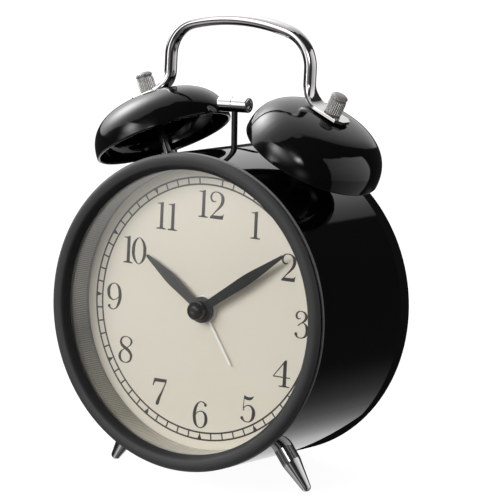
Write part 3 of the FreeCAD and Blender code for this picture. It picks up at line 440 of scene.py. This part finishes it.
# Light ring. Moulded grey diffuser between glass and dial, with fine ribs across its inner wall that
# spread the dial lamp's light.
def round_the_axis():
    """Node tree that repeats its mesh about the Y axis.

    It leaves out the first copy, at the top, and every so-manieth one after it.
    """
    tree = bpy.data.node_groups.new("round_the_axis", "GeometryNodeTree")
    face = tree.interface
    face.new_socket("Geometry", in_out="INPUT", socket_type="NodeSocketGeometry")
    face.new_socket("Count", in_out="INPUT", socket_type="NodeSocketInt")
    face.new_socket("Leave out every", in_out="INPUT", socket_type="NodeSocketInt")
    face.new_socket("Material", in_out="INPUT", socket_type="NodeSocketMaterial")
    face.new_socket("Geometry", in_out="OUTPUT", socket_type="NodeSocketGeometry")
    g = Graph(tree)
    entry = g.node("NodeGroupInput").socket.node
    piece, count, skip, material = [Wire(g, socket) for socket in entry.outputs[:4]]
    index = g.node("GeometryNodeInputIndex")
    angle = index * (2 * math.pi) / count
    turn = g.node("ShaderNodeCombineXYZ", {}, {1: angle})
    step = g.node("ShaderNodeMath", {"operation": "MODULO"}, {0: index, 1: skip})
    left_out = g.node("ShaderNodeMath", {"operation": "COMPARE"}, {0: step, 1: 0.0, 2: 0.1})
    points = g.node("GeometryNodePoints", {}, {"Count": count})
    copies = g.node("GeometryNodeInstanceOnPoints", {},
                    {"Points": points, "Selection": 1 - left_out, "Instance": piece, "Rotation": turn})
    real = g.node("GeometryNodeRealizeInstances", {}, {0: copies})
    dressed = g.node("GeometryNodeSetMaterial", {}, {"Geometry": real, "Material": material})
    g.node("NodeGroupOutput", {}, {0: dressed})
    return tree


ROUND_THE_AXIS = round_the_axis()
FIRST_ONLY = 1000000


def repeat_round(name, mesh, count, material, leave_out=FIRST_ONLY, place_by=UPRIGHT_TO_WORLD):
    """Copies of a mesh at equal steps about the Y axis as one plain mesh, set in its place."""
    carrier = add_object(name + "_pattern", mesh)
    modifier = carrier.modifiers.new("copies", "NODES")
    modifier.node_group = ROUND_THE_AXIS
    wanted = {"Count": count, "Leave out every": leave_out, "Material": material}
    for item in ROUND_THE_AXIS.interface.items_tree:
        if item.in_out == "INPUT" and item.name in wanted:
            modifier[item.identifier] = wanted[item.name]
    now = carrier.evaluated_get(bpy.context.evaluated_depsgraph_get())
    result = bpy.data.meshes.new_from_object(now)
    bpy.data.objects.remove(carrier)
    result.name = name
    result.transform(place_by)
    return add_object(name, result, material)


RING_RADIUS = 44
# Painted light and shade on the ring's grey, from its middle height (0) down to its bottom (1).
DIFFUSER_PAINTED_TONES = ((0.0, 0.34, 0.34, 0.33), (0.25, 0.16, 0.16, 0.155), (0.8, 0.33, 0.315, 0.25),
                  (1.0, 0.72, 0.70, 0.63))


def diffuser(name, painted_brightness):
    """Moulded grey with painted light: lighter and warmer low down where the dial throws its light back."""
    material, graph, node = finish(name)
    stops = [(at, (r * painted_brightness, g * painted_brightness, b * painted_brightness, 1)) for at, r, g, b in DIFFUSER_PAINTED_TONES]
    down = -1 * upright(graph)[2] / RING_RADIUS
    into(graph, node, "Base Color", graph.node("ShaderNodeValToRGB", {"stops": stops}, {0: down}))
    into(graph, node, "Roughness", 0.38 + 0.1 * noise(graph, 900, 2))
    return material


dress(diffuser("grey_diffuser", 0.72), "light_ring")
# The ribs take the ring's tones 1.3 times lighter than the wall: a painted highlight on the ribs.
rib_painted_highlight = diffuser("rib_painted_highlight", 1.3)

RIBS = 400
RIB_HALF_WIDTH = 0.17
RIB_HEIGHT = 0.16
RIB_SUNK = 0.03
RIB_FRONT = (43.28, 4.9)
RIB_BACK = (43.38, 12.0)


def rib_mesh():
    points = []
    for radius, y in (RIB_FRONT, RIB_BACK):
        for i in range(5):
            share = i / 4 * 2 - 1
            lift = RIB_HEIGHT * math.sqrt(1 - share * share)
            points.append((share * RIB_HALF_WIDTH, y, radius - lift + RIB_SUNK))
    faces = [(i, i + 1, i + 6, i + 5) for i in range(4)]
    faces += [(0, 5, 9, 4), (4, 3, 2, 1, 0), (5, 6, 7, 8, 9)]
    return mesh_of("rib", points, faces)


ribs = repeat_round("light_ring_ribs", rib_mesh(), RIBS, rib_painted_highlight)
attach(ribs, "case")


# Dial and its print. Stamped sheet, sprayed matt cream and screen printed in dark grey with upright
# numerals and a railway track of minutes.
cream, g, n = finish("dial_cream")
into(g, n, "Base Color", g.node("ShaderNodeMix", {"data_type": "RGBA"}, {
    0: noise(g, 30, 3), 6: (0.735, 0.69, 0.585, 1), 7: (0.755, 0.715, 0.615, 1)}, out=2))
tooth = noise(g, 7000, 2)
into(g, n, "Roughness", 0.5 + 0.15 * tooth)
bump(g, n, tooth, 0.000004, 0.3)
dress(cream, "dial")

ink, g, n = finish("dial_ink", Base_Color=(0.034, 0.031, 0.029, 1))
into(g, n, "Roughness", 0.45 + 0.2 * noise(g, 5000, 2))

PRINT_FRONT = 13.175
PRINT_BACK = 13.205
FIGURE_HEIGHT = 8.4


def smooth_path(points, closed, steps=7):
    """Points on a smooth curve through the given ones."""
    count = len(points)
    made = []
    for i in range(count if closed else count - 1):
        if closed:
            a, b, c, d = [points[(i + k) % count] for k in (-1, 0, 1, 2)]
        else:
            a, b, c, d = [points[min(max(i + k, 0), count - 1)] for k in (-1, 0, 1, 2)]
        for step in range(steps):
            t = step / steps
            made.append(tuple(0.5 * (2 * q + (r - p) * t + (2 * p - 5 * q + 4 * r - s) * t * t
                                     + (3 * q - p - 3 * r + s) * t ** 3)
                              for p, q, r, s in zip(a, b, c, d)))
    if not closed:
        made.append(tuple(points[-1]))
    return made


def stroke_outline(points, closed):
    """Left and right edge of a brush stroke given by (x, y, width) along its middle."""
    line = smooth_path(points, closed)
    left, right = [], []
    count = len(line)
    for i, (x, y, width) in enumerate(line):
        before = line[(i - 1) % count] if closed or i else line[0]
        after = line[(i + 1) % count] if closed or i < count - 1 else line[-1]
        along = Vector((after[0] - before[0], after[1] - before[1])).normalized()
        left.append((x - along.y * width / 2, y + along.x * width / 2))
        right.append((x + along.y * width / 2, y - along.x * width / 2))
    return left, right


class Print:
    """Collects thin raised shapes of ink on the dial."""

    def __init__(self):
        self.points = []
        self.faces = []

    def solid(self, rings):
        """Closed thin solid over quads between two rows of points."""
        left, right, closed = rings
        base = len(self.points)
        count = len(left)
        for depth in (PRINT_FRONT, PRINT_BACK):
            self.points += [(x, depth, z) for x, z in left]
            self.points += [(x, depth, z) for x, z in right]
        for i in range(count if closed else count - 1):
            j = (i + 1) % count
            l, r = base + i, base + count + i
            lj, rj = base + j, base + count + j
            back = 2 * count
            self.faces += [(l, lj, rj, r), (l + back, r + back, rj + back, lj + back),
                           (l, l + back, lj + back, lj), (r, rj, rj + back, r + back)]
        if not closed:
            back = 2 * count
            for i in (0, count - 1):
                l, r = base + i, base + count + i
                self.faces.append((l, r, r + back, l + back))

    def stroke(self, points, closed=False):
        left, right = stroke_outline(points, closed)
        self.solid((left, right, closed))

    def plate(self, points):
        base = len(self.points)
        count = len(points)
        for depth in (PRINT_FRONT, PRINT_BACK):
            self.points += [(x, depth, z) for x, z in points]
        self.faces += [tuple(range(base, base + count)),
                       tuple(range(base + 2 * count - 1, base + count - 1, -1))]
        self.faces += [(base + i, base + count + i, base + count + (i + 1) % count, base + (i + 1) % count)
                       for i in range(count)]

    def dot(self, x, y, radius):
        self.plate([(x + radius * math.cos(k * math.pi / 10), y + radius * math.sin(k * math.pi / 10))
                    for k in range(20)])


# Each figure is drawn in a box one unit high: strokes as (x, y, width), plates as corners, dots.
SIX = [(0.53, 0.90, 0.07), (0.47, 0.955, 0.055), (0.36, 0.98, 0.035), (0.24, 0.93, 0.05),
       (0.14, 0.78, 0.10), (0.085, 0.58, 0.132), (0.08, 0.38, 0.135), (0.13, 0.17, 0.11),
       (0.24, 0.045, 0.05), (0.36, 0.02, 0.035), (0.49, 0.08, 0.06), (0.575, 0.22, 0.12),
       (0.59, 0.36, 0.135), (0.55, 0.52, 0.11), (0.44, 0.615, 0.055), (0.33, 0.628, 0.035),
       (0.22, 0.58, 0.035), (0.12, 0.48, 0.03)]
FIGURES = {
    "0": {"strokes": [([(0.31, 0.985, 0.03), (0.15, 0.86, 0.085), (0.068, 0.66, 0.13), (0.06, 0.5, 0.135),
                        (0.068, 0.34, 0.13), (0.15, 0.14, 0.085), (0.31, 0.015, 0.03), (0.47, 0.14, 0.085),
                        (0.552, 0.34, 0.13), (0.56, 0.5, 0.135), (0.552, 0.66, 0.13),
                        (0.47, 0.86, 0.085)], True)]},
    "1": {"plates": [[(0.0, 0.925), (0.0, 0.955), (0.13, 0.965), (0.275, 1.01), (0.275, 0.085), (0.295, 0.06),
                      (0.405, 0.04), (0.405, 0.0), (0.0, 0.0), (0.0, 0.04), (0.12, 0.06), (0.14, 0.085),
                      (0.14, 0.90), (0.10, 0.92)]]},
    "2": {"strokes": [([(0.27, 0.645, 0.03), (0.18, 0.625, 0.045), (0.085, 0.66, 0.07), (0.04, 0.78, 0.08),
                        (0.10, 0.92, 0.06), (0.24, 0.98, 0.037), (0.40, 0.955, 0.055), (0.515, 0.86, 0.11),
                        (0.55, 0.73, 0.135), (0.52, 0.58, 0.125), (0.42, 0.43, 0.085), (0.27, 0.28, 0.055),
                        (0.13, 0.13, 0.045), (0.03, 0.03, 0.045)], False)],
          "plates": [[(0.0, 0.0), (0.575, 0.0), (0.615, 0.2), (0.59, 0.2), (0.555, 0.15), (0.47, 0.13),
                      (0.15, 0.125), (0.06, 0.07)]]},
    "3": {"strokes": [([(0.24, 0.72, 0.03), (0.14, 0.705, 0.05), (0.07, 0.76, 0.08), (0.065, 0.86, 0.075),
                        (0.14, 0.955, 0.05), (0.27, 0.982, 0.035), (0.41, 0.93, 0.075), (0.475, 0.80, 0.115),
                        (0.43, 0.68, 0.09), (0.33, 0.60, 0.05), (0.23, 0.53, 0.04),
                        (0.13, 0.455, 0.05)], False),
                      ([(0.27, 0.575, 0.03), (0.38, 0.565, 0.04), (0.48, 0.48, 0.09), (0.53, 0.31, 0.13),
                        (0.48, 0.13, 0.09), (0.36, 0.035, 0.045), (0.24, 0.02, 0.035), (0.13, 0.05, 0.055),
                        (0.075, 0.12, 0.10)], False)],
          "dots": [(0.068, 0.145, 0.062)]},
    "4": {"strokes": [([(0.01, 0.36, 0.035), (0.26, 0.665, 0.045), (0.51, 0.97, 0.05)], False)],
          "plates": [[(0.0, 0.335), (0.0, 0.38), (0.73, 0.375), (0.73, 0.335)],
                     [(0.42, 0.84), (0.565, 1.01), (0.565, 0.07), (0.60, 0.05), (0.705, 0.04), (0.705, 0.0),
                      (0.26, 0.0), (0.26, 0.04), (0.38, 0.05), (0.42, 0.07)]]},
    "5": {"strokes": [([(0.145, 0.98, 0.03), (0.125, 0.75, 0.03), (0.115, 0.58, 0.035),
                        (0.13, 0.42, 0.05)], False),
                      ([(0.125, 0.50, 0.03), (0.20, 0.585, 0.038), (0.33, 0.63, 0.042), (0.46, 0.59, 0.08),
                        (0.545, 0.47, 0.13), (0.56, 0.33, 0.145), (0.515, 0.16, 0.11), (0.41, 0.05, 0.05),
                        (0.29, 0.02, 0.035), (0.17, 0.045, 0.05), (0.10, 0.11, 0.09)], False)],
          "plates": [[(0.13, 1.0), (0.17, 0.965), (0.24, 0.94), (0.33, 0.93), (0.42, 0.94), (0.49, 0.965),
                      (0.54, 1.0), (0.545, 0.985), (0.50, 0.89), (0.42, 0.835), (0.32, 0.815), (0.22, 0.825),
                      (0.13, 0.86)]],
          "dots": [(0.07, 0.145, 0.062)]},
    "6": {"strokes": [(SIX, False)], "dots": [(0.54, 0.875, 0.06)]},
    "7": {"strokes": [([(0.615, 0.90, 0.05), (0.55, 0.74, 0.05), (0.45, 0.51, 0.07), (0.34, 0.28, 0.115),
                        (0.275, 0.10, 0.145), (0.265, 0.065, 0.145)], False)],
          "plates": [[(0.095, 0.99), (0.65, 0.99), (0.62, 0.87), (0.16, 0.86), (0.10, 0.80), (0.07, 0.71),
                      (0.02, 0.71), (0.06, 0.86)]],
          "dots": [(0.264, 0.075, 0.072)]},
    "8": {"strokes": [([(0.33, 0.982, 0.032), (0.16, 0.925, 0.06), (0.09, 0.79, 0.088), (0.15, 0.65, 0.11),
                        (0.31, 0.55, 0.12), (0.46, 0.46, 0.12), (0.565, 0.31, 0.11), (0.53, 0.12, 0.08),
                        (0.40, 0.03, 0.045), (0.29, 0.02, 0.037), (0.14, 0.07, 0.07), (0.065, 0.22, 0.115),
                        (0.10, 0.38, 0.08), (0.22, 0.50, 0.037), (0.37, 0.58, 0.032), (0.50, 0.67, 0.05),
                        (0.56, 0.80, 0.085), (0.50, 0.92, 0.06)], True)]},
    "9": {"strokes": [([(0.66 - x, 1 - y, w) for x, y, w in SIX], False)], "dots": [(0.12, 0.125, 0.06)]},
}
# Lower left corner of each numeral's figures on the dial
NUMERALS = (
    ("1", -4.1, 27.9), ("2", -0.1, 27.9), ("1", 15.0, 23.4), ("2", 26.5, 12.0), ("3", 32.2, -4.7),
    ("4", 25.4, -20.2), ("5", 14.4, -32.7), ("6", -2.9, -36.8), ("7", -18.3, -31.8), ("8", -31.3, -20.3),
    ("9", -36.5, -4.3), ("1", -30.9, 10.8), ("0", -27.85, 10.8), ("1", -19.2, 22.6), ("1", -15.1, 22.6))
numerals = Print()
for figure, left, bottom in NUMERALS:
    def on_dial(points):
        return [(left + p[0] * FIGURE_HEIGHT, bottom + p[1] * FIGURE_HEIGHT)
                + tuple(width * FIGURE_HEIGHT for width in p[2:]) for p in points]
    for points, closed in FIGURES[figure].get("strokes", ()):
        numerals.stroke(on_dial(points), closed)
    for points in FIGURES[figure].get("plates", ()):
        numerals.plate(on_dial(points))
    for x, y, radius in FIGURES[figure].get("dots", ()):
        numerals.dot(left + x * FIGURE_HEIGHT, bottom + y * FIGURE_HEIGHT, radius * FIGURE_HEIGHT)
figures = mesh_of("dial_numerals", numerals.points, numerals.faces)
figures.transform(UPRIGHT_TO_WORLD)
numeral_print = add_object("dial_numerals", figures, ink)
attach(numeral_print, "case")

TRACK_OUTER = 40.25
TRACK_INNER = 38.1
TRACK_LINE = 0.52
TICK_HALF_WIDTH = 0.23
WEDGE_HALF_WIDTH = 0.78
WEDGE_TIP = 0.06
WEDGE_SHORT = 0.25
rails = Print()
for radius in (TRACK_OUTER, TRACK_INNER):
    ring = [(radius * math.sin(math.radians(a)), radius * math.cos(math.radians(a)), TRACK_LINE)
            for a in range(0, 360, 3)]
    left, right = stroke_outline(ring, True)
    rails.solid((left, right, True))
track = mesh_of("dial_track", rails.points, rails.faces)
track.transform(UPRIGHT_TO_WORLD)
track_print = add_object("dial_track", track, ink)
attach(track_print, "case")

tick = Print()
tick.plate([(-TICK_HALF_WIDTH, TRACK_INNER), (TICK_HALF_WIDTH, TRACK_INNER),
            (TICK_HALF_WIDTH, TRACK_OUTER), (-TICK_HALF_WIDTH, TRACK_OUTER)])
ticks = repeat_round("dial_ticks", mesh_of("tick", tick.points, tick.faces), 60, ink, leave_out=5)
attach(ticks, "case")
wedge = Print()
wedge.plate([(-WEDGE_HALF_WIDTH, TRACK_OUTER), (WEDGE_HALF_WIDTH, TRACK_OUTER),
             (WEDGE_TIP, TRACK_INNER + WEDGE_SHORT), (-WEDGE_TIP, TRACK_INNER + WEDGE_SHORT)])
wedges = repeat_round("dial_wedges", mesh_of("wedge", wedge.points, wedge.faces), 12, ink)
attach(wedges, "case")


# Hands and hub. Leaves stamped from thin brass sheet and blackened, under a small domed cap. The alarm
# hand is a plain silvered stick on a disc.
leaf_black, g, n = finish("leaf_black", Base_Color=grey(0.012))
into(g, n, "Roughness", 0.42 + 0.1 * noise(g, 4000, 2))
dress(leaf_black, "minute_hand")
leaf_grey, g, n = finish("leaf_grey", Base_Color=grey(0.05))
into(g, n, "Roughness", 0.40 + 0.1 * noise(g, 4000, 2))
dress(leaf_grey, "hour_hand")
cap_black, g, n = finish("cap_black", Base_Color=grey(0.006))
into(g, n, "Roughness", 0.14 + 0.06 * noise(g, 3000, 2))
dress(cap_black, "centre_cap")
silvered, g, n = finish("silvered", Base_Color=(0.93, 0.93, 0.91, 1), Metallic=0.3)
into(g, n, "Roughness", 0.3 + 0.1 * noise(g, 3000, 2))
dress(silvered, "alarm_hand")


# Bells. Spun steel domes, stoved in the same gloss black as the drum.
# Each is clamped on its post, under the foot of the handle and the thumb nut.
dress(enamel, "bell_left", "bell_right")


# Handle. One round steel rod, bent into an arch, polished and chromed.
# Its ends are pressed flat and holed, and sit on the bells.
def plated(name, tone, roughness, metal=1.0):
    """Plated metal with faint polishing lines and small changes of gloss."""
    material, graph, node = finish(name, Base_Color=tone, Metallic=metal)
    wear = noise(graph, 700, 4)
    into(graph, node, "Roughness", roughness + 0.05 * wear)
    bump(graph, node, noise(graph, 500, 1), 0.000006, 0.3)
    return material


chrome = plated("polished_chrome", (0.60, 0.597, 0.59, 1), 0.09)
dress(plated("handle_chrome", (0.59, 0.585, 0.575, 1), 0.05), "handle")


# Hammer. Turned steel head, polished and chromed, on the end of a blackened rod.
# It swings between the bells.
dress(chrome, "hammer_head")
rod_black, g, n = finish("rod_black", Base_Color=grey(0.008))
into(g, n, "Roughness", 0.25 + 0.1 * noise(g, 2500, 2))
dress(rod_black, "hammer_arm")


# Posts and thumb nuts. Turned steel studs plated in black nickel, and nuts plated in plain nickel.
# The nuts have a fine straight knurl in two bands, with ridges lighter than the nut's body.
black_nickel, g, n = finish("black_nickel", Base_Color=grey(0.02), IOR=2.0)
into(g, n, "Roughness", 0.1 + 0.08 * noise(g, 1500, 2))
dress(black_nickel, "bell_post_left", "bell_post_right")
nickel = plated("nickel", (0.22, 0.217, 0.21, 1), 0.4, metal=0.4)
bright_nickel = plated("bright_nickel", (0.66, 0.655, 0.64, 1), 0.35, metal=0.4)
dress(nickel, "thumb_nut_left", "thumb_nut_right")

NUT_RADIUS = 2.55
NUT_RIDGES = 26
NUT_BANDS = ((1.25, 5.45), (6.2, 6.6))
SEAT = (33.0, 26.8, 61.45)
POST_TILT = math.radians(23.8)
RIDGE_HALF_WIDTH = 0.15
RIDGE_TAPER = 0.15
RIDGE_SUNK = 0.06
RIDGE_OUT = 0.14


def ridge_mesh(low, high):
    foot = NUT_RADIUS - RIDGE_SUNK
    points = []
    for y, grow in ((low, 0.0), (low + RIDGE_TAPER, 1.0), (high - RIDGE_TAPER, 1.0), (high, 0.0)):
        points += [(-RIDGE_HALF_WIDTH, y, foot), (0.0, y, foot + (RIDGE_SUNK + RIDGE_OUT) * grow),
                   (RIDGE_HALF_WIDTH, y, foot)]
    faces = []
    for i in range(3):
        a = 3 * i
        faces += [(a, a + 1, a + 4, a + 3), (a + 1, a + 2, a + 5, a + 4), (a + 2, a, a + 3, a + 5)]
    return mesh_of("ridge", points, faces)


for name, side in (("left", -1), ("right", 1)):
    up = Vector((side * math.sin(POST_TILT), 0, math.cos(POST_TILT)))
    on_post = (UPRIGHT_TO_WORLD @ Matrix.Translation((side * SEAT[0], SEAT[1], SEAT[2]))
               @ Vector((0, 1, 0)).rotation_difference(up).to_matrix().to_4x4())
    for number, (low, high) in enumerate(NUT_BANDS):
        knurl = repeat_round("thumb_nut_%s_knurl_%d" % (name, number + 1), ridge_mesh(low, high), NUT_RIDGES,
                             bright_nickel, place_by=on_post)
        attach(knurl, "case")


# Feet. Turned steel, tapering to a small round tip, polished and chromed.
# Each is screwed through the drum into a nut inside it.
dress(chrome, "foot_left", "foot_right")


# Rear cover. Injection moulded in black with a fine sparked grain, as is its battery door.
# Three screws hold it. They and the other small steel parts are zinc plated.
moulded, g, n = finish("sparked_black", Base_Color=grey(0.02))
grain = noise(g, 3500, 3)
into(g, n, "Roughness", 0.5 + 0.15 * grain)
bump(g, n, grain, 0.00002, 0.6)
dress(moulded, "rear_cover", "battery_door")
zinc = plated("zinc_plate", (0.62, 0.62, 0.60, 1), 0.3)
dress(zinc, "rear_cover_screws", "post_nuts", "foot_nuts", "movement_screws", "hammer_pin", "striker_bracket",
      "striker_yoke", "motor_stator", "hammer_magnet")
dress(nickel, "battery_contacts", "quartz_crystal")


# Knobs, switch and button. Injection moulded in black, smoother than the cover.
# They stand out of holes and a slot in the rear cover.
knob_black, g, n = finish("knob_black", Base_Color=grey(0.012))
into(g, n, "Roughness", 0.25 + 0.12 * noise(g, 1500, 3))
dress(knob_black, "time_set_knob", "alarm_set_knob", "alarm_switch", "light_button")


# Inside the drum. Carrier frame, movement, wheels, cell, board, coils and lamp.
# Each has its own plain finish, since a user sees little of them.
carrier, g, n = finish("carrier_grey", Base_Color=grey(0.3))
into(g, n, "Roughness", 0.5 + 0.1 * noise(g, 800, 2))
dress(carrier, "inner_frame")
dress(moulded, "movement_plate", "movement_case", "alarm_switch_body", "light_switch_body")
nylon, g, n = finish("natural_nylon", Base_Color=(0.75, 0.72, 0.62, 1))
into(g, n, "Roughness", 0.4 + 0.1 * noise(g, 900, 2))
dress(nylon, "hour_wheel", "alarm_wheel", "minute_wheel", "time_set_shaft", "alarm_set_shaft")
brass = plated("turned_brass", (0.75, 0.56, 0.27, 1), 0.25)
dress(brass, "minute_arbor")
sleeve, g, n = finish("cell_sleeve", Base_Color=(0.05, 0.11, 0.2, 1), Metallic=0.4)
into(g, n, "Roughness", 0.25 + 0.1 * noise(g, 500, 2))
dress(sleeve, "battery")
board, g, n = finish("board_green", Base_Color=(0.02, 0.12, 0.05, 1))
into(g, n, "Roughness", 0.4 + 0.1 * noise(g, 900, 2))
dress(board, "circuit_board")
copper = plated("copper_wire", (0.72, 0.33, 0.16, 1), 0.3)
dress(copper, "motor_coil", "striker_coil")
clear_lamp, g, n = finish("lamp_white", Base_Color=(0.9, 0.9, 0.86, 1))
into(g, n, "Roughness", 0.15 + 0.1 * noise(g, 900, 2))
dress(clear_lamp, "dial_lamp")


low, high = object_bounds()
